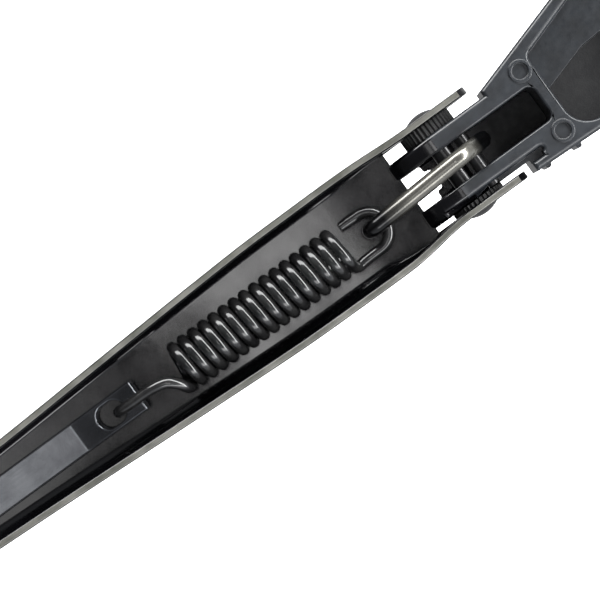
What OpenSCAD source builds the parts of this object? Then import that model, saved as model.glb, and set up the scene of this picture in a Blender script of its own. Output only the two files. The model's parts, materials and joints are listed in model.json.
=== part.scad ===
// Wiper arm, seen with its underside up: a die-cast head with a fork, a folded sheet arm that hinges
// on the fork, a tension spring with its wire link, and a flat steel strip that carries the blade hook.
// The origin lies on the spindle's axis at the inner end of the taper seat. +X runs towards the blade,
// +Z towards the windscreen. Shapes near the fold pivot are drawn from the pivot's centre.

/* [Place] */
// Distance from the spindle to the fold pivot along the arm
pivot_x = 74; // [60:1:90]
// Sideways distance from the spindle to the arm's centreline
arm_y = 5.8; // [0:0.1:8]
// Height of the pivot above the outside of the arm's back
pivot_h = 12; // [11.5:0.1:13]
// Height of the head and of the arm at the pivot
rim_h = 20; // [19:0.5:22]

/* [Arm] */
// Thickness of the arm's sheet steel
sheet = 2; // [1.6:0.1:2.2]
// Half the arm's outside width at the pivot
w_pivot = 15; // [14.8:0.05:15.2]
// How far the arm's right side is set in at the pivot
set_in = 1.1; // [0.8:0.1:1.2]
// Half the arm's outside width at its widest
w_wide = 15.8; // [15.2:0.05:16]
// Half the arm's outside width at the narrow end
w_end = 6.9; // [6.9:0.1:8]
// Distance from the pivot to the narrow end
arm_len = 255; // [220:5:280]
// Height of the sides at the narrow end
side_end = 6.5; // [5:0.5:9]
// Largest inside radius of the folds along the back
fold_r = 4.5; // [2:0.5:5]
// Radius of the rounded ears about the pivot
ear_r = 14; // [12:0.1:14.4]
// Distance from the pivot to the edge of the arm's back
back_edge = 12.6; // [12:0.1:14]

/* [Head] */
// Radius of the head's round end about the spindle
head_r = 21.9; // [20:0.1:24]
// Thickness of the head's walls
wall = 3.2; // [2.5:0.1:4]
// Thickness of the head's back
skin = 3; // [2:0.1:4]
// Outside radius of the spindle boss
boss_r = 12; // [11.5:0.5:13]
// Radius of the taper seat at its mouth
seat_r = 6; // [5.8:0.1:6.4]
// Radius of the taper seat at its inner end
seat_r_in = 5.2; // [5:0.1:5.5]
// Depth of the taper seat
seat_len = 9; // [8:0.5:10]
// Radius of the hole for the spindle's thread
bolt_r = 4.2; // [4.1:0.1:4.3]
// Length of the hole for the spindle's thread
bolt_len = 4; // [3:0.5:5]
// Radius of the recess for the spindle's nut
nut_r = 10; // [9:0.5:10.5]

/* [Fork] */
// Outer side of the left prong from the centreline
prong_l = 9.7; // [9.5:0.1:10]
// Outer side of the right prong from the centreline
prong_r = 10.6; // [10.2:0.1:10.8]
// Left side of the slot from the centreline
slot_l = 5; // [4.5:0.1:5.4]
// Right side of the slot from the centreline
slot_r = 5.2; // [4.5:0.1:5.5]
// Distance from the pivot to the closed end of the slot
slot_len = 27.9; // [26:0.1:29]
// Radius of the prongs' rounded ends
nose_r = 11.7; // [11:0.1:11.8]
// Reach of the fork's back beyond the pivot
skin_nose = 6.2; // [5:0.1:6.4]
// Width of the notch in the fork's back that the link swings through
notch_w = 5.8; // [5.4:0.1:6.4]

/* [Pivot] */
// Radius of the pivot rivet's shank
rivet_r = 3; // [2.8:0.05:3.1]
// Radial clearance of the rivet in the fork and the bushes
rivet_gap = 0.05; // [0.03:0.01:0.08]
// Radius of the rivet's heads
rivet_head_r = 4.2; // [4:0.1:5]
// Height of the rivet's heads
rivet_head_h = 1.1; // [0.8:0.1:1.4]
// Radius of the ribbed bushes
bush_r = 7.5; // [7:0.1:8]
// Gap between a bush and the side of the arm
bush_gap = 0.05; // [0.03:0.01:0.1]

/* [Link] */
// Hook pin's place before the pivot, towards the spindle
hook_x = 5.6; // [5.4:0.1:6]
// Hook pin's height above the pivot
hook_z = 3.6; // [3.4:0.1:3.8]
// Radius of the hook pin
hook_pin_r = 2; // [1.8:0.05:2.1]
// Radius of the link's round bar
link_r = 2.25; // [2:0.05:2.3]
// Gap between the link and its pin
link_gap = 0.08; // [0.05:0.01:0.12]
// Turn of the link in plan towards the spring's eye
link_skew = 3; // [2:0.1:4]

/* [Spring] */
// Radius of the spring's wire
wire_r = 1.5; // [1.4:0.05:1.55]
// Sideways place of the coil from the arm's centreline
coil_y = 0.9; // [0:0.1:1.2]
// Mean radius of the coil
coil_r = 5.7; // [5.5:0.05:5.8]
// Distance from one turn to the next
pitch = 3.27; // [3.2:0.01:3.4]
// Number of whole turns between the first and last crossing
turns = 15; // [13:1:15]

/* [Strip] */
// Width of the blade strip
strip_w = 9; // [8.9:0.1:9]
// Thickness of the blade strip
strip_t = 3; // [2.8:0.1:3.1]
// Distance from the pivot to the outside of the blade hook
strip_len = 440; // [420:5:460]
// Distance from the pivot to the raised end of the strip
strip_start = 100; // [99:0.5:101]
// Distance from the pivot to the strip's bend
strip_bend = 120.5; // [119:0.5:122]
// Rise of the strip's end
strip_rise = 16.5; // [15:0.5:17]
// Inside radius of the blade hook
blade_hook_r = 4.3; // [4:0.1:4.5]
// Length of the blade hook's return leg
hook_leg = 15; // [12:1:18]
// Radius of the strip's two rivets
strip_rivet_r = 2; // [1.8:0.1:2.2]

/* [Hidden] */
$fn = 64;

seat_top = seat_len;
back_z = seat_top - rim_h;
pivot_z = back_z + pivot_h;
rim = rim_h - pivot_h;
base_in = sheet - pivot_h;
spindle = [-pivot_x, -arm_y];
strip_rivets = [arm_len - 50, arm_len - 17];
clear = 1;

module at_pivot() translate([pivot_x, arm_y, pivot_z]) children();
// A shape drawn in plan, from height low to height high
module slab(low, high) translate([0, 0, low]) linear_extrude(high - low) children();
// A shape drawn in the side view, from side y low to side y high
module across(low, high)
    translate([0, high, 0]) rotate([90, 0, 0]) linear_extrude(high - low) children();
// A round bar or hole along Y
module rod(r, low, high) translate([0, high, 0]) rotate([90, 0, 0]) cylinder(r = r, h = high - low);

function polar(r, a) = r * [cos(a), sin(a)];
// Points on an arc of a view, from one angle to another
arc_steps = 12;
function arc(c, r, from, to) = [for (k = [0 : arc_steps]) c + polar(r, from + (to - from) * k / arc_steps)];

// Smooth curve through a few [x, value] stations, level at both ends
function slope(s, i) = i == 0 || i == len(s) - 1 ? 0
    : (s[i + 1][1] - s[i - 1][1]) / (s[i + 1][0] - s[i - 1][0]);
function piece(s, x) = max([for (i = [0 : len(s) - 2]) if (x >= s[i][0] || i == 0) i]);
function hermite(a, b, ma, mb, t) =
    a * (2 * t * t * t - 3 * t * t + 1) + ma * (t * t * t - 2 * t * t + t)
    + b * (3 * t * t - 2 * t * t * t) + mb * (t * t * t - t * t);
function smooth(s, x, i) = hermite(s[i][1], s[i + 1][1], slope(s, i) * (s[i + 1][0] - s[i][0]),
    slope(s, i + 1) * (s[i + 1][0] - s[i][0]), (x - s[i][0]) / (s[i + 1][0] - s[i][0]));
function along(s, x) = x <= s[0][0] ? s[0][1] : x >= s[len(s) - 1][0] ? s[len(s) - 1][1]
    : smooth(s, x, piece(s, x));

// Arm
// Half width, side height and fold radius of the arm at a distance x from the pivot
width_line = [[4.5, w_pivot], [24, w_wide], [44, w_wide], [60, 15.55], [97, 13.85], [135, 11.95], [205, 9.2], [arm_len, w_end]];
rim_line = [[58, rim], [110, rim - 1.6], [180, rim - 7.5], [arm_len, side_end - pivot_h]];
strip_side_gap = 0.15;
ease_line = [[back_edge + 2, 0.3], [34, fold_r]];
set_in_line = [[4.5, set_in], [24, 0]];
function half_w(x) = along(width_line, x);
function fold_in(x) = min(along(ease_line, x), half_w(x) - sheet - strip_w / 2 - strip_side_gap);

fold_steps = 5;
// One side of a U: down the side, round the fold, at inset d from the outside
function half_u(x, d, in = 0) = let (r = fold_in(x) + sheet - d, w = half_w(x) - in - d, z = d - pivot_h)
    concat([[w, along(rim_line, x)]],
        [for (k = [0 : fold_steps]) let (a = 90 * k / fold_steps)
            [w - r + r * cos(a), z + r - r * sin(a)]]);
function mirror_u(p) = [for (k = [len(p) - 1 : -1 : 0]) [-p[k][0], p[k][1]]];
function whole_u(x, d) = concat(half_u(x, d, along(set_in_line, x)), mirror_u(half_u(x, d)));
function section(x) = let (out = whole_u(x, 0), in = whole_u(x, sheet), n = len(in))
    [for (q = concat(out, [for (k = [n - 1 : -1 : 0]) in[k]])) [x, q[0], q[1]]];
arm_stations = concat([-ear_r - clear, 4.5, 8.5], [for (k = [0 : 27]) back_edge + 2 + k * (arm_len - back_edge - 2) / 27]);

// Solid through a row of closed sections with the same number of points, each side cut into triangles.
// An open section, such as a U, has its end faces in strips between its outer and inner points.
module loft(rows, open = false) {
    n = len(rows[0]);
    end = (len(rows) - 1) * n;
    points = [for (row = rows) each row];
    sides = [for (i = [0 : len(rows) - 2], k = [0 : n - 1]) let (a = i * n + k, b = i * n + (k + 1) % n)
        each [[a, b, b + n], [a, b + n, a + n]]];
    first = open ? [for (k = [0 : n / 2 - 2]) each [[k + 1, k, n - 1 - k], [k + 1, n - 1 - k, n - 2 - k]]]
        : [for (k = [1 : n - 2]) [0, k + 1, k]];
    last = [for (f = first) [end + f[2], end + f[1], end + f[0]]];
    polyhedron(points, concat(sides, first, last), convexity = 8);
}

module arm_channel() color([0.07, 0.07, 0.08]) at_pivot() difference() {
    loft([for (x = arm_stations) section(x)], open = true);
    // The back stops short of the fork, and the ears are round about the pivot
    translate([-40, sheet - w_pivot, -pivot_h - clear])
        cube([40 + back_edge, 2 * (w_pivot - sheet) - set_in, rim_h + 2 * clear]);
    across(-w_wide - clear, w_wide + clear) difference() {
        translate([-40, -40]) square([40, 80]);
        circle(r = ear_r);
    }
    rod(rivet_r, -w_wide - clear, w_wide + clear);
    for (x = strip_rivets) strip_rivet_hole(x);
}

module pivot_rivet() color([0.16, 0.16, 0.17]) at_pivot() {
    rod(rivet_r, -w_pivot, w_pivot - set_in);
    rotate([90, 0, 0]) rivet_head(w_pivot);
    rotate([-90, 0, 0]) rivet_head(w_pivot - set_in);
}
// Domed head whose flat side bears on the arm's side
module rivet_head(seat) {
    ball_r = (rivet_head_r * rivet_head_r + rivet_head_h * rivet_head_h) / (2 * rivet_head_h);
    translate([0, 0, seat]) rotate_extrude() intersection() {
        translate([0, rivet_head_h - ball_r]) circle(r = ball_r, $fn = 180);
        square([rivet_head_r, rivet_head_h]);
    }
}

// Blade strip
strip_top = base_in + strip_t;
bend_r = 6;
rise_len = (strip_bend - strip_start - (bend_r + strip_t) * sin(strip_rise)) / cos(strip_rise);
bend_c = [strip_bend, strip_top + bend_r];
hook_c = [strip_len - blade_hook_r - strip_t, strip_top + blade_hook_r];
up_slope = rise_len * [-cos(strip_rise), sin(strip_rise)];
module strip_side() polygon(concat(
    [bend_c + polar(bend_r + strip_t, 270 - strip_rise) + up_slope],
    arc(bend_c, bend_r + strip_t, 270 - strip_rise, 270),
    arc(hook_c, blade_hook_r + strip_t, -90, 90),
    [hook_c + [-hook_leg, blade_hook_r + strip_t], hook_c + [-hook_leg, blade_hook_r]],
    arc(hook_c, blade_hook_r, 90, -90),
    arc(bend_c, bend_r, 270, 270 - strip_rise),
    [bend_c + polar(bend_r, 270 - strip_rise) + up_slope]));
// Long hole near the raised end, where the spring hooks in
eye_len = 8.6;
eye_w = 6.4;
eye_back = rise_len - 9.2;
module spring_eye() translate([strip_bend, 0, strip_top + bend_r]) rotate([0, strip_rise, 0])
    translate([-eye_back, 0, -bend_r - strip_t - clear]) {
        translate([-(eye_len - eye_w) / 2, -eye_w / 2]) cube([eye_len - eye_w, eye_w, strip_t + 2 * clear]);
        for (side = [-1, 1]) translate([side * (eye_len - eye_w) / 2, 0]) cylinder(r = eye_w / 2, h = strip_t + 2 * clear);
    }
module strip_rivet_hole(x) translate([x, 0, -pivot_h]) {
    translate([0, 0, -clear]) cylinder(r = strip_rivet_r, h = sheet + strip_t + 2 * clear);
    cylinder(r1 = strip_rivet_r + sheet * 0.8, r2 = strip_rivet_r, h = sheet * 0.8);
}
module blade_strip() color([0.28, 0.28, 0.3]) at_pivot() difference() {
    across(-strip_w / 2, strip_w / 2) strip_side();
    spring_eye();
    for (x = strip_rivets) strip_rivet_hole(x);
}
// Flush below, with a low head on the strip
module strip_rivet(x) color([0.2, 0.2, 0.21]) at_pivot() translate([x, 0, -pivot_h]) {
    cylinder(r = strip_rivet_r, h = sheet + strip_t);
    cylinder(r1 = strip_rivet_r + sheet * 0.8, r2 = strip_rivet_r, h = sheet * 0.8);
    translate([0, 0, sheet + strip_t]) cylinder(r1 = strip_rivet_r * 1.7, r2 = strip_rivet_r * 1.2, h = 1.1);
}
module strip_rivet_1() strip_rivet(strip_rivets[0]);
module strip_rivet_2() strip_rivet(strip_rivets[1]);

// Head
shoulder_x = -16.4;
shoulder_l = -11.2;
shoulder_r = 14.1;
// Point where a line from p touches a circle; side 1 or -1 picks the line
function touch(p, c, r, side) = let (d = p - c, a = atan2(d[1], d[0]), b = acos(r / norm(d)))
    c + r * [cos(a + side * b), sin(a + side * b)];
module outline(p_left, p_right, r, more = []) {
    polygon(concat([p_left, touch(p_left, spindle, r, -1), spindle, touch(p_right, spindle, r, 1), p_right], more));
    translate(spindle) circle(r = r, $fn = 128);
}
pocket_x = -31.3;
module pocket() {
    corner_l = 2;
    corner_r = 7;
    side_l = -12.2;
    side_r = 12.3;
    outline([pocket_x - corner_l, side_l], [pocket_x - corner_r, side_r], head_r - wall,
        [[pocket_x - corner_r, side_r - corner_r], [pocket_x, side_r - corner_r], [pocket_x, side_l + corner_l]]);
    translate([pocket_x - corner_l, side_l + corner_l]) circle(r = corner_l);
    translate([pocket_x - corner_r, side_r - corner_r]) circle(r = corner_r);
}
// Raised floor along the pocket's left side
module ledge() intersection() {
    pocket();
    polygon([[pocket_x + clear, -1], [-45, -5.4], [-52, -5.8], [-62, -5], [-90, -5], [-90, -40], [pocket_x + clear, -40]]);
}
module slot_plan() {
    corner = 2;
    translate([-slot_len + corner, -slot_l]) square([slot_len + nose_r + 2, slot_l + slot_r]);
    translate([-slot_len, corner - slot_l]) square([corner + clear, slot_l + slot_r - 2 * corner]);
    for (y = [corner - slot_l, slot_r - corner]) translate([corner - slot_len, y]) circle(r = corner);
}
nose_x = 1.1;
module fork_side() {
    translate([shoulder_x - clear, -pivot_h]) square([nose_x + clear - shoulder_x, rim_h]);
    intersection() {
        translate([nose_x, rim - nose_r]) circle(r = nose_r);
        translate([-nose_r, -pivot_h]) square([3 * nose_r, rim_h]);
    }
}
relief_w = 1.3;
relief_len = 20.3;
ring_mark_x = -27.7;
ring_mark_y = 9.4;
module head() color([0.11, 0.11, 0.13]) at_pivot() difference() {
    union() {
        slab(-pivot_h, rim) outline([shoulder_x, shoulder_l], [shoulder_x, shoulder_r], head_r);
        across(-prong_l, prong_r) fork_side();
        for (side = [-1, 1]) translate([ring_mark_x, side * ring_mark_y, rim - clear])
            cylinder(r = 3, h = clear + 0.5);
        for (p = [[-19.7, shoulder_r + 0.2], [-29, shoulder_r + 0.65]]) translate([p[0], p[1], -pivot_h + 2])
            cylinder(r = 0.8, h = rim_h - 4, $fn = 24);
    }
    difference() {
        slab(skin - pivot_h, rim + clear) pocket();
        slab(skin - pivot_h - clear, 2.5) ledge();
        translate([spindle[0], spindle[1], -pivot_h]) cylinder(r = boss_r, h = rim_h);
    }
    slab(skin - pivot_h, rim + clear) slot_plan();
    // The fork's back ends under the slot, so that the link can swing past it
    translate([skin_nose, -slot_l, -pivot_h - clear]) cube([nose_r, slot_l + slot_r, rim_h]);
    translate([skin_nose - 1.6, -notch_w / 2, -pivot_h - clear]) cube([nose_r, notch_w, rim_h]);
    // Step along the right prong's outer edge
    translate([-relief_len, prong_r - relief_w, 5]) cube([relief_len + nose_r + 2, relief_w + clear, rim]);
    translate([-relief_len, prong_r - relief_w / 2, 5]) cylinder(r = relief_w / 2, h = rim);
    for (side = [-1, 1]) translate([ring_mark_x, side * ring_mark_y, rim - 0.5]) cylinder(r = 2.2, h = 2);
    rod(rivet_r + rivet_gap, -prong_l - clear, prong_r + clear);
    translate([-hook_x, 0, hook_z]) rod(hook_pin_r, -prong_l - clear, prong_r + clear);
    translate([spindle[0], spindle[1], -pivot_z]) {
        cylinder(r1 = seat_r_in, r2 = seat_r, h = seat_len);
        translate([0, 0, seat_len - 0.01]) cylinder(r = seat_r, h = clear);
        translate([0, 0, -bolt_len - clear]) cylinder(r = bolt_r, h = bolt_len + 2 * clear);
        translate([0, 0, back_z - clear]) cylinder(r = nut_r, h = -back_z - bolt_len + clear);
    }
}
module hook_pin() color([0.3, 0.3, 0.32]) at_pivot()
    translate([-hook_x, 0, hook_z]) rod(hook_pin_r, 0.2 - prong_l, prong_r - 0.2);

// Bushes
ribs = 36;
rib_depth = 0.5;
module bush(low, high) color([0.06, 0.06, 0.06]) at_pivot() difference() {
    across(low, high) polygon([for (k = [0 : 4 * ribs - 1])
        (bush_r - (k % 4 < 2 ? 0 : rib_depth)) * [cos(k * 90 / ribs), sin(k * 90 / ribs)]]);
    rod(rivet_r + rivet_gap, low - clear, high + clear);
}
module bush_left() bush(sheet - w_pivot + bush_gap, -prong_l);
module bush_right() bush(prong_r, w_pivot - set_in - sheet - bush_gap);

// Link, drawn in the side view from the hook pin's centre
wrap_r = hook_pin_r + link_gap + link_r;
crown = [5, 4.2];
crown_r = 5.8;
tip_angle = 262;
leg_x = 32.7;
leg_low = -5.2;
bar_slope = 10;
corner_r = 3.2;
leave = atan2(crown[1], crown[0]) + acos((wrap_r - crown_r) / norm(crown));
crown_end = 90 - bar_slope;
wrap_out = polar(wrap_r, leave);
crown_in = crown + polar(crown_r, leave);
crown_out = crown + polar(crown_r, crown_end);
bar_dir = [cos(bar_slope), -sin(bar_slope)];
bar_len = (leg_x - corner_r * (1 - sin(bar_slope)) - crown_out[0]) / cos(bar_slope);
bar_out = crown_out + bar_len * bar_dir;
corner_c = bar_out - polar(corner_r, crown_end);

tip = polar(wrap_r, tip_angle);
end_round = 0.5;
link_side = concat([tip + end_round * [-sin(tip_angle), cos(tip_angle)]], arc([0, 0], wrap_r, tip_angle, leave),
    arc(crown, crown_r, leave, crown_end), arc(corner_c, corner_r, crown_end, 0),
    [[leg_x, leg_low + end_round], [leg_x, leg_low]]);
module spring_link() color([0.2, 0.19, 0.19]) at_pivot() translate([-hook_x, -0.65, hook_z])
    rotate([0, 0, link_skew]) loft(rings([for (q = link_side) [q[0], 0, q[1]]], link_r, 16, end_round));

// Spring
first_x = 36.6;
coil_z = 1.25;
coil_fall = 2.53;
eye_c = [27.8, 1.2];
eye_r = 5.3;
coil_steps = 18;
function on_axis(x) = coil_z - (x - first_x) * tan(coil_fall);
function coil_point(a) = let (x = first_x + pitch * a / 360) [x, coil_y - coil_r * sin(a), on_axis(x) + coil_r * cos(a)];
// Hooks: hand-set points, from the cut end to the coil and from the coil into the strip's hole
eye_path = concat([[32.9, -4.2, on_axis(32.9)], [30.5, -4.2, on_axis(30.5)]],
    [for (k = [0 : 12]) let (a = 270 - 15 * k, p = eye_c + polar(eye_r, a)) [p[0], p[1], on_axis(p[0])]],
    [[30.4, 6.5, on_axis(30.4)], [32.8, 6.6, on_axis(32.8)]]);
knee_path = [[32.8, 6.6, on_axis(32.8)], [34.6, 6.8, 1.7], [35.7, 6.5, 3], coil_point(-55)];
hook_path = [coil_point(360 * turns + 262), [89, 6, 2.3], [90.3, 4, 4], [92.6, 1.9, 4.6], [95.6, 1, 4.2],
    [99.4, 0.7, 2.9], [103, 0.7, 1.7], [106, 0.6, 0.3], [107.5, 0.6, -2.6], [106.9, 0.6, -5.8],
    [105, 0.6, -7.4], [102.8, 0.6, -7.6]];
// Smooth curve through hand-set points
function at(p, i) = p[max(0, min(len(p) - 1, i))];
function curve(p, steps) = [for (i = [0 : len(p) - 2], k = [1 : steps]) let (t = k / steps,
    a = at(p, i - 1), b = p[i], c = p[i + 1], d = at(p, i + 2))
    b + 0.5 * t * (c - a + t * (2 * a - 5 * b + 4 * c - d + t * (3 * (b - c) + d - a)))];
wire_path = concat(eye_path, curve(knee_path, 4),
    [for (a = [-35 : 360 / coil_steps : 360 * turns + 250]) coil_point(a)],
    [hook_path[0]], curve(hook_path, 3));
function unit(v) = v / norm(v);
function along_path(p, i) = unit(at(p, i + 1) - at(p, i - 1));
// Rings round a wire, each turned as little as possible from the one before, with the ends edged off
function rings(p, r, sides, edge = 0) = [for (i = 0, u = unit(cross(along_path(p, 0), [0, 0, 1])); i < len(p);
    i = i + 1, u = i < len(p) ? unit(u - (u * along_path(p, i)) * along_path(p, i)) : u)
    let (v = cross(along_path(p, i), u), ring_r = i == 0 || i == len(p) - 1 ? r - edge : r)
    [for (k = [0 : sides - 1]) let (a = 360 * (k + 0.5) / sides) p[i] + ring_r * (cos(a) * u + sin(a) * v)]];
module tension_spring() color([0.15, 0.15, 0.16]) at_pivot() loft(rings(wire_path, wire_r, 8));

head();
hook_pin();
bush_left();
bush_right();
arm_channel();
pivot_rivet();
blade_strip();
strip_rivet_1();
strip_rivet_2();
spring_link();
tension_spring();
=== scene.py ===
# Wiper arm lying with its underside up: finishes, detailed pieces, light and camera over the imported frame.
import json
import math
import bmesh
import bpy
from mathutils import Matrix, Vector


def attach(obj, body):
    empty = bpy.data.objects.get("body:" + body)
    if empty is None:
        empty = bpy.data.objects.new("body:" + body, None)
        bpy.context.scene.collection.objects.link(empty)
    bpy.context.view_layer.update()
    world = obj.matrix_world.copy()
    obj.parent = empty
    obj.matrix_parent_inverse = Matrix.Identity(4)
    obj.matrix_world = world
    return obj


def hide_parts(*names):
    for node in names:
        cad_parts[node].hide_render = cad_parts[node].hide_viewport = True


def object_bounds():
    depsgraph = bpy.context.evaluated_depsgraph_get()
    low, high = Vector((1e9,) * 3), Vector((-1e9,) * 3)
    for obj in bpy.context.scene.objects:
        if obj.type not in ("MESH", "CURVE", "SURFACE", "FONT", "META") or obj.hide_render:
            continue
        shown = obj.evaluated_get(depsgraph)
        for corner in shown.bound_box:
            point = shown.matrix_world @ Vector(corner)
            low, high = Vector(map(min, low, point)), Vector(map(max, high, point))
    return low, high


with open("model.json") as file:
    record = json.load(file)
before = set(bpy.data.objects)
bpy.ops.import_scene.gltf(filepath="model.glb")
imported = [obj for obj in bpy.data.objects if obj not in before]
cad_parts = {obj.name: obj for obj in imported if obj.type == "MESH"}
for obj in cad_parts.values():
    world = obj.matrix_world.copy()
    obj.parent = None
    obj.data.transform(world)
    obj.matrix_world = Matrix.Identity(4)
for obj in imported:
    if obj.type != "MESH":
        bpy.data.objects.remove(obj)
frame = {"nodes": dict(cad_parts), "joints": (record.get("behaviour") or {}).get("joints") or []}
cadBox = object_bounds()
mm = 0.001
pivot = Vector(next(j["pos_m"] for j in frame["joints"] if j["name"] == "arm_fold"))
hookPin = Vector(next(j["pos_m"] for j in frame["joints"] if j["name"] == "link_swing"))


def fromPivot(x, y, z):  # a place given in millimetres from the fold pivot
    return pivot + Vector((x, y, z)) * mm


# Camera: straight above the underside, turned so that the blade end points to the lower left
cameraSetup = {
    "lookAt": (52.4, 4.8),  # from the pivot, in mm
    "rimHeight": 8,
    "distance": 900,
    "frameWidth": 153.8,  # what the picture's width covers at the rim's height
    "sensor": 36,
    "turn": 143.9,
}


def placeCamera(s):
    x, y = s["lookAt"]
    data = bpy.data.cameras.new("camera")
    data.sensor_width = s["sensor"]
    data.lens = s["sensor"] * s["distance"] / s["frameWidth"]
    data.clip_start = 0.01
    camera = bpy.data.objects.new("camera", data)
    bpy.context.scene.collection.objects.link(camera)
    camera.location = fromPivot(x, y, s["rimHeight"] + s["distance"])
    camera.rotation_euler = (0, 0, math.radians(s["turn"]))
    bpy.context.scene.camera = camera


placeCamera(cameraSetup)


# Materials
def hexColour(text):  # sRGB hex to linear
    parts = [int(text[i:i + 2], 16) / 255 for i in (1, 3, 5)]
    return tuple([p / 12.92 if p <= 0.04045 else ((p + 0.055) / 1.055) ** 2.4 for p in parts] + [1.0])


def addNode(tree, kind, links=None, **values):  # one node with its settings and links
    node = tree.nodes.new(kind)
    for key, value in values.items():
        name = key.replace("_", " ")
        if name in node.inputs:
            node.inputs[name].default_value = value
        else:
            setattr(node, key, value)
    for socket, source in (links or {}).items():
        tree.links.new(source, node.inputs[socket])
    return node


def newFinish(name, **sockets):
    material = bpy.data.materials.new(name)
    material.use_nodes = True
    tree = material.node_tree
    shader = tree.nodes["Principled BSDF"]
    for key, value in sockets.items():
        shader.inputs[key.replace("_", " ")].default_value = value
    place = addNode(tree, "ShaderNodeTexCoord").outputs["Object"]
    return material, tree, shader, place


def speckle(tree, place, grain, detail=2.0):  # noise whose grains measure this many mm
    return addNode(tree, "ShaderNodeTexNoise", {"Vector": place}, Scale=1 / (grain * mm), Detail=detail).outputs["Fac"]


def spread(tree, source, low, high, toLow, toHigh):
    return addNode(tree, "ShaderNodeMapRange", {"Value": source}, From_Min=low, From_Max=high,
                   To_Min=toLow, To_Max=toHigh).outputs["Result"]


def twoTone(tree, source, dark, light, low=0.35, high=0.65):
    ramp = addNode(tree, "ShaderNodeValToRGB", {"Fac": source})
    ramp.color_ramp.elements[0].position = low
    ramp.color_ramp.elements[0].color = hexColour(dark)
    ramp.color_ramp.elements[1].position = high
    ramp.color_ramp.elements[1].color = hexColour(light)
    return ramp.outputs["Color"]


def setColour(tree, shader, noise, dark, light, *ends):
    tree.links.new(twoTone(tree, noise, dark, light, *ends), shader.inputs["Base Color"])


def setRoughness(tree, shader, noise, low, high):  # most of a noise lies between 0.3 and 0.7
    tree.links.new(spread(tree, noise, 0.3, 0.7, low, high), shader.inputs["Roughness"])


def setBump(tree, shader, heights):  # heights: (height socket, depth in mm) pairs, one over the other
    normal = None
    for height, depth in heights:
        links = {"Height": height}
        if normal:
            links["Normal"] = normal
        normal = addNode(tree, "ShaderNodeBump", links, Strength=1.0, Distance=depth * mm).outputs["Normal"]
    tree.links.new(normal, shader.inputs["Normal"])


def glossPowderCoat():
    # Black polyester powder coat baked on sheet steel: a hard gloss over a sheet that isn't quite flat (30 mm waves),
    # with the coat's slight orange peel (2 mm) and grain (0.6 mm)
    material, tree, shader, place = newFinish("powderCoatGlossBlack", IOR=1.5, Coat_Weight=0.5, Coat_Roughness=0.06)
    setColour(tree, shader, speckle(tree, place, 14, 3), "#09090b", "#0e0e11")
    setRoughness(tree, shader, speckle(tree, place, 9), 0.1, 0.2)
    setBump(tree, shader, [(speckle(tree, place, 30, 0), 0.8), (speckle(tree, place, 2.2, 1), 0.01),
                           (speckle(tree, place, 0.6, 1), 0.004)])
    return material


def shearedEdgeAndHighlight():
    # The same coat over the sheet's sheared edge, drawn thin there, so the steel shows through, duller; its lighter
    # colour is partly that steel and partly a painted highlight on the rim
    material, tree, shader, place = newFinish("thinCoatAndPaintedHighlightOnRim", Metallic=0.5, Coat_Weight=0.3,
                                              Coat_Roughness=0.15)
    setColour(tree, shader, speckle(tree, place, 7, 3), "#55554f", "#75746e")
    setRoughness(tree, shader, speckle(tree, place, 3), 0.3, 0.42)
    setBump(tree, shader, [(speckle(tree, place, 1.2, 2), 0.02)])
    return material


def castingPaint():
    # Satin dark paint over a zinc die casting: the grainy cast skin (0.45 mm) shows through, in soft 2.6 mm swells,
    # and the light lies grey on it
    material, tree, shader, place = newFinish("satinPaintOnDieCasting", IOR=1.5, Coat_Weight=0.5, Coat_Roughness=0.16)
    setColour(tree, shader, speckle(tree, place, 5, 4), "#1b1d20", "#25282c")
    setRoughness(tree, shader, speckle(tree, place, 1.5, 3), 0.3, 0.42)
    setBump(tree, shader, [(speckle(tree, place, 2.6, 3), 0.05), (speckle(tree, place, 0.45, 2), 0.012)])
    return material


def pocketFloorPaintedShade():
    # The same paint on the floors of the slot and the pocket, dull and without the gloss coat, so they come out darker:
    # painted shade in the recesses
    material, tree, shader, place = newFinish("pocketFloorPaintedShade", IOR=1.5)
    setColour(tree, shader, speckle(tree, place, 4, 4), "#202022", "#2a2a2b")
    setRoughness(tree, shader, speckle(tree, place, 1.5, 3), 0.5, 0.65)
    setBump(tree, shader, [(speckle(tree, place, 1.8, 3), 0.05), (speckle(tree, place, 0.45, 2), 0.015)])
    return material


def coatedWire(name, dark, light, rough):
    # Drawn spring steel under a thin black dip coat: long sharp highlights along the wire, broken a little where the
    # coat ran (0.6 to 0.9 mm)
    material, tree, shader, place = newFinish(name, Metallic=0.55, Coat_Weight=0.6, Coat_Roughness=0.12)
    setColour(tree, shader, speckle(tree, place, 4, 3), dark, light)
    setRoughness(tree, shader, speckle(tree, place, 0.9, 3), rough, rough + 0.1)
    setBump(tree, shader, [(speckle(tree, place, 0.6, 3), 0.012)])
    return material


barPaintedLight = {
    "eyeEnd": (14, 23),  # the painted highlight fades into painted shade between these, in mm from the pivot
    "pinEnd": (-8.5, -6),
}


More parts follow.
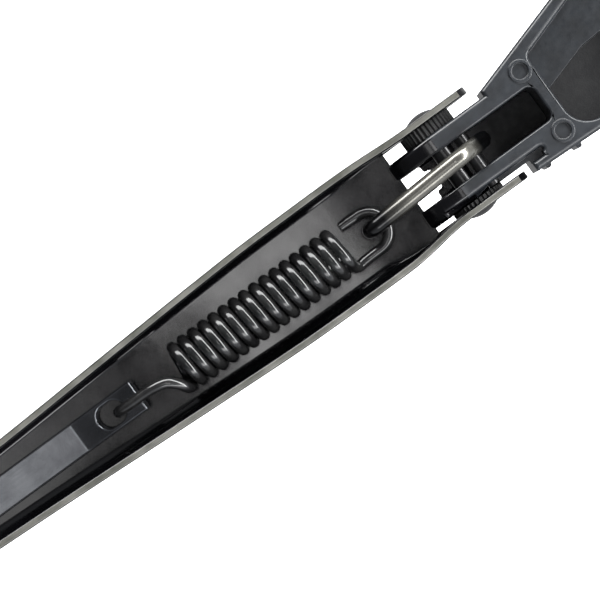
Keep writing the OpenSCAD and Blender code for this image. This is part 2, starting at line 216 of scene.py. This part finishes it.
def paintedLightBar(s):
    # Round bar of black steel: lighter along its middle, where it arches over the rivet, as a painted highlight, and
    # black at both ends as painted shade
    material, tree, shader, place = newFinish("roundBarPaintedShadeAndHighlight", Metallic=0.75, Coat_Weight=0.4, Coat_Roughness=0.12)
    along = addNode(tree, "ShaderNodeSeparateXYZ", {"Vector": place}).outputs["X"]
    fromEye = spread(tree, along, *[pivot.x + x * mm for x in s["eyeEnd"]], 1, 0)
    fromPin = spread(tree, along, *[pivot.x + x * mm for x in s["pinEnd"]], 0, 1)
    # 1 in the middle and 0 at both ends: the painted highlight between the painted shade
    paintedLit = addNode(tree, "ShaderNodeMath", {0: fromEye, 1: fromPin}, operation="MULTIPLY").outputs["Value"]
    patches = spread(tree, speckle(tree, place, 3, 3), 0.3, 0.7, 0.75, 1)
    paintedLitPatchy = addNode(tree, "ShaderNodeMath", {0: paintedLit, 1: patches}, operation="MULTIPLY").outputs["Value"]
    setColour(tree, shader, paintedLitPatchy, "#0f0f10", "#7c7a73", 0, 1)
    setRoughness(tree, shader, speckle(tree, place, 0.9, 3), 0.18, 0.26)
    setBump(tree, shader, [(speckle(tree, place, 1.2, 2), 0.006)])
    return material


def stripCoat():
    # Cold-rolled strip under a thin black passivated plating: the metal shines through, with rolling lines along it.
    # Real ones are a few hundredths of a mm apart; these are 0.8 mm, as coarse as it takes to show
    material, tree, shader, place = newFinish("blackPlatingOnRolledStrip", Metallic=0.85, Coat_Weight=0.2,
                                              Coat_Roughness=0.12)
    stretched = addNode(tree, "ShaderNodeMapping", {"Vector": place}, Scale=(0.06, 1, 1)).outputs["Vector"]
    setColour(tree, shader, speckle(tree, place, 6, 3), "#616367", "#717377")
    setRoughness(tree, shader, speckle(tree, stretched, 0.8, 3), 0.12, 0.2)
    setBump(tree, shader, [(speckle(tree, stretched, 0.8, 1), 0.001), (speckle(tree, place, 3, 1), 0.008)])
    return material


def bushPlastic():
    # Moulded black acetal: matt, with faint flow marks
    material, tree, shader, place = newFinish("mouldedAcetal", IOR=1.48, Roughness=0.55)
    setColour(tree, shader, speckle(tree, place, 3, 2), "#070707", "#0e0e0e")
    setBump(tree, shader, [(speckle(tree, place, 0.4, 2), 0.01)])
    return material


finishes = {
    "arm": glossPowderCoat(),
    "casting": castingPaint(),
    "pocket": pocketFloorPaintedShade(),
    "spring": coatedWire("dipCoatedSpringSteel", "#232324", "#373737", 0.14),
    "link": paintedLightBar(barPaintedLight),
    "steel": coatedWire("blackenedRivetSteel", "#1c1c1d", "#2c2c2d", 0.3),
    "shearedEdgeAndHighlight": shearedEdgeAndHighlight(),
    "strip": stripCoat(),
    "plastic": bushPlastic(),
}
print("stage: finishes made")


# Tools for shaping
def freshStart():
    if bpy.context.mode != "OBJECT":
        bpy.ops.object.mode_set(mode="OBJECT")
    bpy.ops.object.select_all(action="DESELECT")


def pickOnly(piece):
    freshStart()
    piece.select_set(True)
    bpy.context.view_layer.objects.active = piece


def nameActive(name, finish):
    piece = bpy.context.active_object
    piece.name = name
    piece.data.name = name
    piece.data.materials.clear()
    piece.data.materials.append(finishes[finish])
    return piece


def useModifier(piece, kind, **settings):
    pickOnly(piece)
    modifier = piece.modifiers.new(kind.lower(), kind)
    for key, value in settings.items():
        setattr(modifier, key, value)
    bpy.ops.object.modifier_apply(modifier=modifier.name)


def setInPlace(piece):  # puts the object's turn and place into its mesh
    pickOnly(piece)
    bpy.ops.object.transform_apply(location=True, rotation=True, scale=True)


def smoothSides(piece, angle=35):
    pickOnly(piece)
    bpy.ops.object.shade_smooth_by_angle(angle=math.radians(angle))


def flattenShading(piece):  # the large faces set the shading, so they look flat up to their rounded edges
    useModifier(piece, "WEIGHTED_NORMAL", mode="FACE_AREA", weight=90, keep_sharp=True)


def roundEdges(piece, width, segments, angle):
    useModifier(piece, "BEVEL", width=width * mm, segments=segments, limit_method="ANGLE",
                angle_limit=math.radians(angle), use_clamp_overlap=True, loop_slide=False, harden_normals=True)


def roundByWeight(piece, widest, widthAt, segments=4, angle=30):  # widthAt gives an edge's rounding, in mm
    weights = piece.data.attributes.new("bevel_weight_edge", "FLOAT", "EDGE")
    mesh = bmesh.new()
    mesh.from_mesh(piece.data)
    for i, edge in enumerate(mesh.edges):
        if len(edge.link_faces) == 2 and edge.calc_face_angle(0) > math.radians(angle):
            ends = [(vertex.co - pivot) / mm for vertex in edge.verts]
            weights.data[i].value = widthAt(*ends) / widest
    mesh.free()
    useModifier(piece, "BEVEL", width=widest * mm, segments=segments, limit_method="WEIGHT",
                use_clamp_overlap=False, loop_slide=False, harden_normals=True)
    flattenShading(piece)


def cutWith(piece, tool):
    useModifier(piece, "BOOLEAN", operation="DIFFERENCE", object=tool, solver="EXACT")
    bpy.data.objects.remove(tool)


def boxTool(low, high):  # a cutting block between two corners, in mm from the pivot
    freshStart()
    a, b = fromPivot(*low), fromPivot(*high)
    bpy.ops.mesh.primitive_cube_add(size=1, location=(a + b) / 2, scale=b - a)
    tool = bpy.context.active_object
    setInPlace(tool)
    return tool


def rodTool(radius, half, corners):  # a round cutting bar across the arm, about the pivot
    freshStart()
    bpy.ops.mesh.primitive_cylinder_add(vertices=corners, radius=radius * mm, depth=2 * half * mm,
                                        location=fromPivot(0, 0, 0), rotation=(math.pi / 2, 0, 0))
    tool = bpy.context.active_object
    setInPlace(tool)
    return tool


def cleanCopy(node, name, finish, faceCuts=()):
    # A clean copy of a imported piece: joined up and its flat faces made whole, but split at the cuts, so that
    # no face runs round a hole
    freshStart()
    source = frame["nodes"][node]
    piece = bpy.data.objects.new(name, source.data.copy())
    bpy.context.scene.collection.objects.link(piece)
    pickOnly(piece)
    bpy.ops.object.mode_set(mode="EDIT")
    bpy.ops.mesh.select_all(action="SELECT")
    bpy.ops.mesh.remove_doubles(threshold=0.002 * mm)
    for x in faceCuts:
        bpy.ops.mesh.select_all(action="SELECT")
        bpy.ops.mesh.bisect(plane_co=fromPivot(x, 0, 0), plane_no=(1, 0, 0))
        bpy.ops.mesh.mark_seam()
    bpy.ops.mesh.select_all(action="SELECT")
    bpy.ops.mesh.dissolve_limited(angle_limit=math.radians(0.5), delimit={"SEAM"})
    bpy.ops.mesh.select_all(action="SELECT")
    bpy.ops.mesh.mark_seam(clear=True)
    bpy.ops.object.mode_set(mode="OBJECT")
    nameActive(name, finish)
    smoothSides(piece)
    return piece


def settle(piece, body, node):
    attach(piece, body)
    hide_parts(node)


# Arm: a sheet blank folded into a tapering channel, in millimetres from the pivot
armSheet = {
    "sheet": 2.0,
    "pivotHeight": 12,
    "length": 255,
    "backEdge": 12.6,
    "earRadius": 14,
    "earSpare": 2,  # blank that is left past the ears until they are cut round
    "holeRadius": 3.0,
    "width": [(4.5, 15), (24, 15.8), (44, 15.8), (60, 15.55), (97, 13.85), (135, 11.95), (205, 9.2), (255, 6.9)],
    "rim": [(58, 8), (110, 6.4), (180, 0.5), (255, -5.5)],
    "fold": [(14.6, 0.3), (30, 1.8)],
    "foldRight": [(14.6, 0.3), (30, 3.2)],
    "setIn": [(4.5, 1.1), (24, 0)],  # how far the right side steps in at the pivot
    "stripHalf": 4.65,
    "rows": 230,
    "sideRows": 8,
    "bendRows": 10,
    "backRows": 4,
    "edgeRound": 0.6,
    "cutRound": 0.25,
    "cutterBack": 40,  # the cutters reach this far, well past the sheet
    "cutterHalf": 20,
    "cutterAcross": 30,
    "paleRimAbove": -7.5,  # only the rim, with its sheared edge and painted highlight, reaches up past this height
}


def smoothLine(stations, x):  # smooth curve through a few stations, level at both ends
    if x <= stations[0][0]:
        return stations[0][1]
    if x >= stations[-1][0]:
        return stations[-1][1]
    i = max(k for k in range(len(stations) - 1) if x >= stations[k][0])

    def slope(k):
        if k in (0, len(stations) - 1):
            return 0
        return (stations[k + 1][1] - stations[k - 1][1]) / (stations[k + 1][0] - stations[k - 1][0])

    (x0, a), (x1, b) = stations[i], stations[i + 1]
    t = (x - x0) / (x1 - x0)
    return (a * (2 * t ** 3 - 3 * t * t + 1) + slope(i) * (x1 - x0) * (t ** 3 - 2 * t * t + t)
            + b * (3 * t * t - 2 * t ** 3) + slope(i + 1) * (x1 - x0) * (t ** 3 - t * t))


def foldedSide(s, x, fold="fold", setIn=0.0):  # outside of one half of the fold, from the rim to the middle of the back
    w = smoothLine(s["width"], x) - setIn
    rim = smoothLine(s["rim"], x)
    r = min(smoothLine(s[fold], x), w - s["sheet"] - s["stripHalf"]) + s["sheet"]
    low = -s["pivotHeight"]
    turns = [math.radians(90 / s["bendRows"] * k) for k in range(s["bendRows"])]
    side = [(w, rim + (low + r - rim) * k / s["sideRows"]) for k in range(s["sideRows"])]
    bend = [(w - r + r * math.cos(a), low + r - r * math.sin(a)) for a in turns]
    back = [((w - r) * (1 - k / s["backRows"]), low) for k in range(s["backRows"] + 1)]
    return side + bend + back


def makeArm(s):
    freshStart()
    columns = 2 * (len(foldedSide(s, 0)) - 1)
    bpy.ops.mesh.primitive_grid_add(x_subdivisions=s["rows"], y_subdivisions=columns, size=1)
    piece = nameActive("foldedArm", "arm")
    start = -s["earRadius"] - s["earSpare"]
    for vertex in piece.data.vertices:  # folds the flat blank
        x = start + (vertex.co.x + 0.5) * (s["length"] - start)
        column = round((vertex.co.y + 0.5) * columns)
        right = column < columns / 2
        profile = foldedSide(s, x, "foldRight", smoothLine(s["setIn"], x)) if right else foldedSide(s, x)
        y, z = profile[min(column, columns - column)]
        vertex.co = fromPivot(x, y if right else -y, z)
    useModifier(piece, "SOLIDIFY", thickness=s["sheet"] * mm, offset=-1, use_even_offset=True)
    roundEdges(piece, s["edgeRound"], 4, 60)
    far, half, across = s["cutterBack"], s["cutterHalf"], s["cutterAcross"]
    inner = s["width"][0][1] - s["sheet"]
    cutWith(piece, boxTool((-far, -inner, -half), (s["backEdge"], inner - s["setIn"][0][1], half)))
    earTool = boxTool((-far, -half, -half), (0, half, half))
    cutWith(earTool, rodTool(s["earRadius"], across, 96))
    cutWith(piece, earTool)
    cutWith(piece, rodTool(s["holeRadius"], across, 48))
    smoothSides(piece, 40)
    roundEdges(piece, s["cutRound"], 2, 40)
    piece.data.materials.append(finishes["shearedEdgeAndHighlight"])
    for face in piece.data.polygons:  # the paint draws thin along the sheared rim, and the rim is painted lighter there, partly as a highlight
        if face.normal.z > 0.95 and (face.center - pivot).z / mm > s["paleRimAbove"]:
            face.material_index = 1
    settle(piece, "arm_body", "arm_channel")


makeArm(armSheet)
print("stage: arm folded")


# Spring and link: round wire and bar along a path
def makeRod(name, finish, points, radius, endRound):
    freshStart()
    bpy.ops.curve.primitive_nurbs_path_add()
    rod = bpy.context.active_object
    curve = rod.data
    curve.splines.clear()
    spline = curve.splines.new("POLY")
    spline.points.add(len(points) - 1)
    for point, place in zip(spline.points, points):
        point.co = (*place, 1)
    for k in (0, -1):
        spline.points[k].radius = 1 - endRound
    curve.dimensions = "3D"
    curve.twist_mode = "MINIMUM"
    curve.bevel_depth = radius * mm
    curve.bevel_resolution = 4
    curve.use_fill_caps = True
    bpy.ops.object.convert(target="MESH")
    rod = nameActive(name, finish)
    setInPlace(rod)
    smoothSides(rod, 50)
    return rod


def smoothPath(points, steps=6):  # smooth curve through given points
    path = [points[0]]
    for i in range(len(points) - 1):
        a, b = points[max(i - 1, 0)], points[i]
        c, d = points[i + 1], points[min(i + 2, len(points) - 1)]
        for k in range(1, steps + 1):
            t = k / steps
            path.append(b + 0.5 * t * ((c - a) + t * ((2 * a - 5 * b + 4 * c - d) + t * (3 * (b - c) + d - a))))
    return path


springWire = {
    "wire": 1.5,
    "coil": 5.7,
    "coilSide": 0.9,
    "pitch": 3.27,
    "turns": 15,
    "firstX": 36.6,
    "height": 1.25,
    "fall": 2.53,
    "turnSteps": 36,
    "turnsFrom": -45,  # degrees round the first turn
    "turnsOn": 250,  # degrees past the last whole turn
    "eyeTail": [(32.9, -4.2), (30.5, -4.2)],  # the wire's open end
    "eyeCentre": (27.8, 1.2),
    "eyeRadius": 5.3,
    "eyeFrom": 270,
    "eyeStep": 7.5,
    "eyePoints": 25,
    "eyeLead": [(30.4, 6.5), (32.8, 6.6)],  # and its way back to the coil
    "knee": [(34.6, 6.8, 1.7), (35.7, 6.5, 3)],
    "kneeTo": -55,
    "hookFrom": 262,
    "hook": [(89, 6, 2.3), (90.3, 4, 4), (92.6, 1.9, 4.6), (95.6, 1, 4.2), (99.4, 0.7, 2.9), (103, 0.7, 1.7),
             (106, 0.6, 0.3), (107.5, 0.6, -2.6), (106.9, 0.6, -5.8), (105, 0.6, -7.4), (102.8, 0.6, -7.6)],
    "endRound": 0.12,
}


def makeSpring(s):
    def onAxis(x):
        return s["height"] - (x - s["firstX"]) * math.tan(math.radians(s["fall"]))

    def coilPoint(angle):
        x = s["firstX"] + s["pitch"] * angle / 360
        a = math.radians(angle)
        return Vector((x, s["coilSide"] - s["coil"] * math.sin(a), onAxis(x) + s["coil"] * math.cos(a)))

    def level(x, y):
        return Vector((x, y, onAxis(x)))

    cx, cy = s["eyeCentre"]
    eye = [level(*p) for p in s["eyeTail"]]
    for k in range(s["eyePoints"]):
        a = math.radians(s["eyeFrom"] - s["eyeStep"] * k)
        eye.append(level(cx + s["eyeRadius"] * math.cos(a), cy + s["eyeRadius"] * math.sin(a)))
    eye += [level(*p) for p in s["eyeLead"]]
    knee = smoothPath([eye[-1]] + [Vector(p) for p in s["knee"]] + [coilPoint(s["kneeTo"])])[1:]
    wound = 360 * s["turns"]
    step = 360 / s["turnSteps"]
    coilSteps = int((wound + s["turnsOn"] - s["turnsFrom"]) / step)
    coil = [coilPoint(s["turnsFrom"] + step * k) for k in range(coilSteps + 1)]
    hook = smoothPath([coilPoint(wound + s["hookFrom"])] + [Vector(p) for p in s["hook"]])
    points = [fromPivot(*p) for p in eye + knee + coil + hook]
    piece = makeRod("springWire", "spring", points, s["wire"], s["endRound"])
    settle(piece, "spring_body", "tension_spring")


makeSpring(springWire)
print("stage: spring wound")


linkBar = {
    "bar": 2.25,
    "wrap": 4.33,
    "crown": (5.0, 4.2),
    "crownRadius": 5.8,
    "tipAngle": 262,
    "legX": 32.7,
    "legLow": -5.2,
    "slope": 10,
    "corner": 3.2,
    "side": -0.65,
    "skew": 3,
    "endRound": 0.5,
}


def arcPoints(cx, cz, radius, start, stop, steps=16):
    angles = [math.radians(start + (stop - start) * k / steps) for k in range(steps + 1)]
    return [(cx + radius * math.cos(a), cz + radius * math.sin(a)) for a in angles]


def makeLink(s):
    cx, cz = s["crown"]
    away = math.hypot(cx, cz)
    leave = math.degrees(math.atan2(cz, cx) + math.acos((s["wrap"] - s["crownRadius"]) / away))
    crownEnd = 90 - s["slope"]
    tip = math.radians(s["tipAngle"])
    start = (s["wrap"] * math.cos(tip) - s["endRound"] * math.sin(tip),
             s["wrap"] * math.sin(tip) + s["endRound"] * math.cos(tip))
    crown = arcPoints(cx, cz, s["crownRadius"], leave, crownEnd)
    slope = math.radians(s["slope"])
    run = (s["legX"] - s["corner"] * (1 - math.sin(slope)) - crown[-1][0]) / math.cos(slope)
    barEnd = (crown[-1][0] + run * math.cos(slope), crown[-1][1] - run * math.sin(slope))
    end = math.radians(crownEnd)
    corner = arcPoints(barEnd[0] - s["corner"] * math.cos(end), barEnd[1] - s["corner"] * math.sin(end),
                       s["corner"], crownEnd, 0)
    side = [start] + arcPoints(0, 0, s["wrap"], s["tipAngle"], leave) + crown + corner
    side += [(s["legX"], s["legLow"] + s["endRound"]), (s["legX"], s["legLow"])]
    turn = Matrix.Rotation(math.radians(s["skew"]), 3, "Z")
    origin = hookPin + Vector((0, s["side"], 0)) * mm
    points = [origin + turn @ Vector((x, 0, z)) * mm for x, z in side]
    piece = makeRod("linkBar", "link", points, s["bar"], s["endRound"] / s["bar"])
    settle(piece, "link_body", "spring_link")


makeLink(linkBar)
print("stage: link bent")


# Pieces whose imported shape is right: their edges are rounded, and the head gets its noses, a second paint, dull and
# darker, on its recess floors as painted shade, and a third, near-black, on the noses as painted shade
castEdges = {
    "top": 8,  # height of the rim above the pivot
    "hair": 0.01,
    "outer": 1.2,
    "inner": 0.7,
    "small": 0.2,
    "ringX": -27.7,
    "ringY": 9.4,
    "ringReach": 3.4,
    "spindle": (-74, -5.8),
    "spindleReach": 16,
    "prongFrom": -10,  # below the rim, the prongs' long edges past here are only broken
    "prongTop": 6,
    "slotHalf": 6,
    "slotEnd": -30,
    "pocketEnd": -31,
    "pocketReach": 20,
    "pocketCorner": (-38.5, 12.5),
    "faceCuts": (0.04, -5.57, -15.2, -27.73, -60.3, -73.9),
    "noseStart": 1.0,
    "noseReach": 1.2,  # how far the paint and the draft carry the noses on
    "noseGrows": (4, 11),  # from nothing to all of it between these
    "noseShadeFrom": 1.6,  # past here the noses get the near-black gloss coat: painted shade where they curve away from the light
    "pocketShadeBelow": 2,
    "pocketShadeHalf": 13,
}


def makeHead(s):
    piece = cleanCopy("head", "castHead", "casting", s["faceCuts"])

    def toSpindle(p):
        return math.hypot(p.x - s["spindle"][0], p.y - s["spindle"][1])

    def insidePocket(p):
        cornerX, cornerY = s["pocketCorner"]
        if p.x >= s["pocketEnd"]:
            return False
        return toSpindle(p) < s["pocketReach"] or p.x > cornerX and abs(p.y) < cornerY

    def widthAt(a, b):
        middle = (a + b) / 2
        ring = min(math.hypot(middle.x - s["ringX"], middle.y - side * s["ringY"]) for side in (-1, 1))
        straight = abs(a.y - b.y) < s["hair"]
        if straight and middle.x > s["noseStart"]:
            # Each nose carries on the rim's rounding: two widths that meet on nearly the same line make a spike
            return s["inner"] if abs(middle.y) < s["slotHalf"] else s["outer"]
        if ring < s["ringReach"] or toSpindle(middle) < s["spindleReach"]:
            return s["small"]
        if straight and middle.z < s["prongTop"] and middle.x > s["prongFrom"]:
            return s["small"]
        if min(a.z, b.z) > s["top"] - s["hair"]:
            inSlot = abs(middle.y) < s["slotHalf"] and middle.x > s["slotEnd"]
            return s["inner"] if inSlot or insidePocket(middle) else s["outer"]
        return s["small"]

    roundByWeight(piece, s["outer"], widthAt)
    growFrom, growTo = s["noseGrows"]
    for vertex in piece.data.vertices:
        x = (vertex.co - pivot).x / mm
        if x > growFrom:
            vertex.co.x += s["noseReach"] * mm * min(1, (x - growFrom) / (growTo - growFrom))
    piece.data.materials.append(finishes["pocket"])
    piece.data.materials.append(finishes["arm"])
    for face in piece.data.polygons:
        place = (face.center - pivot) / mm
        # Painted shade: the recess floors get the dull, darker paint
        if face.normal.z > 0.9 and place.z < s["pocketShadeBelow"] and abs(place.y) < s["pocketShadeHalf"]:
            face.material_index = 1
        # Painted shade: the noses get the arm's near-black gloss coat
        if place.x > s["noseShadeFrom"]:
            face.material_index = 2
    settle(piece, "head_body", "head")


stripEdges = {
    "round": 0.55,  # the rolled strip's edges, in mm
}


def makeStrip(s):
    piece = cleanCopy("blade_strip", "rolledStrip", "strip")
    roundByWeight(piece, s["round"], lambda a, b: s["round"])
    settle(piece, "arm_body", "blade_strip")


# Node, piece, finish, rounding in mm, body and slot
smallPieces = [
    ("hook_pin", "hookPinSteel", "steel", 0.3, "head_body", "dark_steel"),
    ("pivot_rivet", "rivetSteel", "steel", 0.15, "arm_body", "dark_steel"),
    ("strip_rivet_1", "stripRivetNear", "steel", 0.2, "arm_body", "dark_steel"),
    ("strip_rivet_2", "stripRivetFar", "steel", 0.2, "arm_body", "dark_steel"),
    ("bush_left", "ribbedBushLeft", "plastic", 0.12, "head_body", "bush_plastic"),
    ("bush_right", "ribbedBushRight", "plastic", 0.12, "head_body", "bush_plastic"),
]


def makeSmallPieces(rows):
    for node, name, finish, width, body, slot in rows:
        piece = cleanCopy(node, name, finish)
        roundEdges(piece, width, 2, 40)
        flattenShading(piece)
        settle(piece, body, node)


makeHead(castEdges)
makeStrip(stripEdges)
makeSmallPieces(smallPieces)
print("stage: head, strip and small pieces dressed")


# Floor and light. The sky's strengths go with its X and Y directions, so that they stand still as the camera moves
studio = {
    "middle": (50, 0, 0),
    "floorSize": 4.0,
    "floorMiddle": 0.25,
    "floorDrop": 0.45,  # room for the arm to fold down
    "floorSeen": "#f4f4f4",
    "floorCast": "#5c5c5c",
    "glowSeen": 1.0,  # white ground
    "glowCast": 0.1,  # and what it throws back on the object
    "sky": "#eef2f8",
    "skySeen": 1.0,
    "skyHead": (-0.9, -0.05, 0.42, 0.06),  # bright beyond the head, dark beyond the blade
    "skyRight": (0.1, 0.6, 0, 0.85),
    "skyLeft": (-0.5, -0.1, 0.18, 0),
}


def makeStudio(s):
    freshStart()
    floorPlace = (s["floorMiddle"], 0, cadBox[0][2] - s["floorDrop"])
    bpy.ops.mesh.primitive_plane_add(size=s["floorSize"], location=floorPlace)
    floor = bpy.context.active_object
    floor.name = "floor"
    material, tree, shader, place = newFinish("whitePaper", Roughness=0.9, Emission_Color=hexColour("#ffffff"))
    seen = addNode(tree, "ShaderNodeLightPath").outputs["Is Camera Ray"]
    setColour(tree, shader, seen, s["floorCast"], s["floorSeen"], 0, 1)
    tree.links.new(spread(tree, seen, 0, 1, s["glowCast"], s["glowSeen"]), shader.inputs["Emission Strength"])
    floor.data.materials.append(material)
    world = bpy.data.worlds.new("paleRoom")
    bpy.context.scene.world = world
    world.use_nodes = True
    tree = world.node_tree
    background = tree.nodes["Background"]
    background.inputs["Color"].default_value = hexColour(s["sky"])
    seen = addNode(tree, "ShaderNodeLightPath").outputs["Is Camera Ray"]
    around = addNode(tree, "ShaderNodeTexCoord").outputs["Generated"]
    sides = addNode(tree, "ShaderNodeSeparateXYZ", {"Vector": around}).outputs
    cast = spread(tree, sides["X"], *s["skyHead"])
    for side in ("skyRight", "skyLeft"):
        part = spread(tree, sides["Y"], *s[side])
        cast = addNode(tree, "ShaderNodeMath", {0: cast, 1: part}).outputs["Value"]
    mixed = addNode(tree, "ShaderNodeMapRange", {"Value": seen, "To Min": cast}, To_Max=s["skySeen"])
    tree.links.new(mixed.outputs["Result"], background.inputs["Strength"])
    bpy.context.scene.view_settings.view_transform = "Standard"


# Name, place and aim in metres from the middle, width, height and watts. The last two hang over the part and are seen
# in its flat faces
softboxes = [
    ("softboxHead", (-1.0, 0.1, 0.9), (0, 0, 0), 2.4, 0.3, 36),
    ("softboxLeft", (-0.2, -1.0, 0.45), (0, 0, 0), 1.6, 0.5, 24),
    ("softboxRight", (0.0, 0.8, 0.8), (0, 0, 0), 1.2, 0.3, 5),
    ("softboxAbove", (0.005, 0.1, 1.3), (0.005, 0.1, 0), 0.105, 0.5, 0.64),
    ("softboxBlade", (0.27, 0.1, 1.3), (0.27, 0.1, 0), 0.2, 0.5, 0.45),
]


def hangSoftboxes(rows, middle):
    for name, place, aim, width, height, power in rows:
        data = bpy.data.lights.new(name, "AREA")
        data.shape = "RECTANGLE"
        data.size = width
        data.size_y = height
        data.energy = power
        lamp = bpy.data.objects.new(name, data)
        bpy.context.scene.collection.objects.link(lamp)
        place, aim = middle + Vector(place), middle + Vector(aim)
        lamp.location = place
        lamp.rotation_euler = (aim - place).to_track_quat("-Z", "Y").to_euler()


makeStudio(studio)
hangSoftboxes(softboxes, fromPivot(*studio["middle"]))
print("stage: studio lit")
